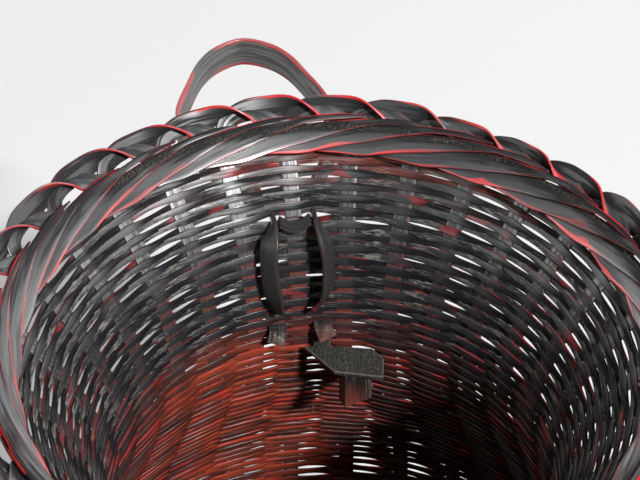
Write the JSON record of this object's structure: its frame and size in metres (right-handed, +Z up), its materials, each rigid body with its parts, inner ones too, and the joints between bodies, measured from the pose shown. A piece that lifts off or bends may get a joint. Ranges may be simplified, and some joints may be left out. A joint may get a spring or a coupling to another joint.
{
  "type": "ikebana basket",
  "caption": "Lacquered bamboo ikebana basket: a woven vase with a round belly, a drawn-in neck, a flared mouth with a plaited rim, and a hanging loop at the back.",
  "frame": {"origin": "the middle of the foot, on the plane that the basket stands on", "axes": "+Z up along the basket's axis, +Y toward the hanging loop at the back, +X to the right in the picture"},
  "size_m": [0.2249, 0.2834, 0.2792],
  "materials": {
    "stake_lacquer": "black satin lacquer worn to red at the edges",
    "weft_lacquer": "black satin lacquer over red-brown, dusty",
    "foot_lacquer": "black satin lacquer",
    "base_bamboo": "thin red-brown lacquer",
    "loop_lacquer": "black satin lacquer, red at the edges",
    "keeper_bamboo": "dusty dark lacquer with red cut ends"
  },
  "bodies": {
    "root": {"stake_01": "stake_lacquer", "stake_02": "stake_lacquer", "stake_03": "stake_lacquer", "stake_04": "stake_lacquer", "stake_05": "stake_lacquer", "stake_06": "stake_lacquer", "stake_07": "stake_lacquer", "stake_08": "stake_lacquer", "stake_09": "stake_lacquer", "stake_10": "stake_lacquer", "stake_11": "stake_lacquer", "stake_12": "stake_lacquer", "stake_13": "stake_lacquer", "stake_14": "stake_lacquer", "stake_15": "stake_lacquer", "stake_16": "stake_lacquer", "stake_17": "stake_lacquer", "stake_18": "stake_lacquer", "stake_19": "stake_lacquer", "stake_20": "stake_lacquer", "stake_21": "stake_lacquer", "stake_22": "stake_lacquer", "stake_23": "stake_lacquer", "stake_24": "stake_lacquer", "stake_25": "stake_lacquer", "stake_26": "stake_lacquer", "stake_27": "stake_lacquer", "stake_28": "stake_lacquer", "stake_29": "stake_lacquer", "weft_foot": "weft_lacquer", "weft_lower_body": "weft_lacquer", "weft_body": "weft_lacquer", "weft_belly": "weft_lacquer", "weft_upper_belly": "weft_lacquer", "weft_shoulder": "weft_lacquer", "weft_lower_neck": "weft_lacquer", "weft_neck": "weft_lacquer", "weft_mouth": "weft_lacquer", "foot_ring": "foot_lacquer", "base_mat": "base_bamboo", "base_slat_long": "base_bamboo", "base_slat_cross": "base_bamboo", "hanging_loop": "loop_lacquer", "loop_tie": "loop_lacquer", "loop_wedge_right": "keeper_bamboo", "loop_wedge_left": "keeper_bamboo", "keeper_plate": "keeper_bamboo", "keeper_peg": "keeper_bamboo"}
  },
  "joints": []
}
